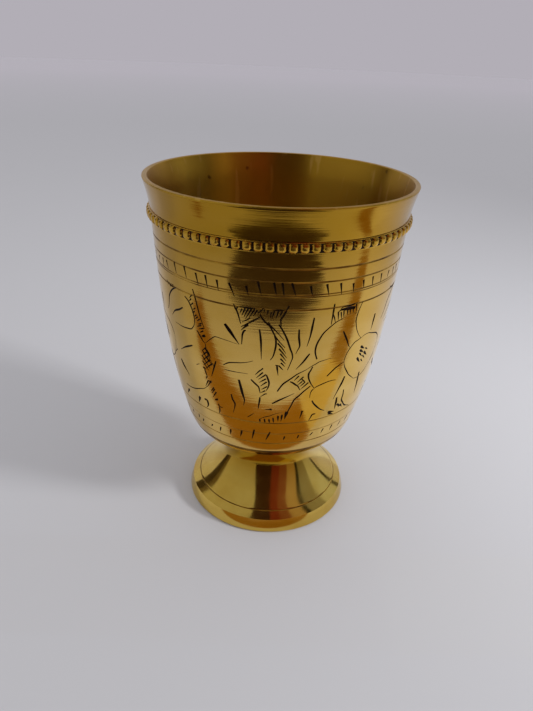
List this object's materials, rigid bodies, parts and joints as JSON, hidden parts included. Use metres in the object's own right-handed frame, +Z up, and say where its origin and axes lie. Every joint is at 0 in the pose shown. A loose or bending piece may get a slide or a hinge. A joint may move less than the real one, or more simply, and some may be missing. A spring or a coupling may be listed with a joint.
{
  "type": "footed tumbler",
  "caption": "Footed brass tumbler with a flared lip, a beaded band under it, turned lines and an engraved floral bowl on a hollow trumpet foot, for drinking.",
  "frame": {"origin": "centre of the foot's resting plane, on the axis that every piece is turned about", "axes": "+Z up the axis from the foot to the mouth; +X to the right and +Y away from the viewer in the picture"},
  "size_m": [0.075, 0.075, 0.1052],
  "materials": {
    "bowl": "turned and polished brass with fine lathe marks, engraved lines darkened with patina",
    "beaded_band": "polished brass beads, dark in the gaps",
    "band_solder": "soft solder, dull grey",
    "foot": "mirror-polished brass",
    "neck_braze": "brazing alloy, satin"
  },
  "bodies": {
    "root": {"bowl": "bowl", "beaded_band": "beaded_band", "band_solder": "band_solder", "foot": "foot", "neck_braze": "neck_braze"}
  },
  "joints": []
}
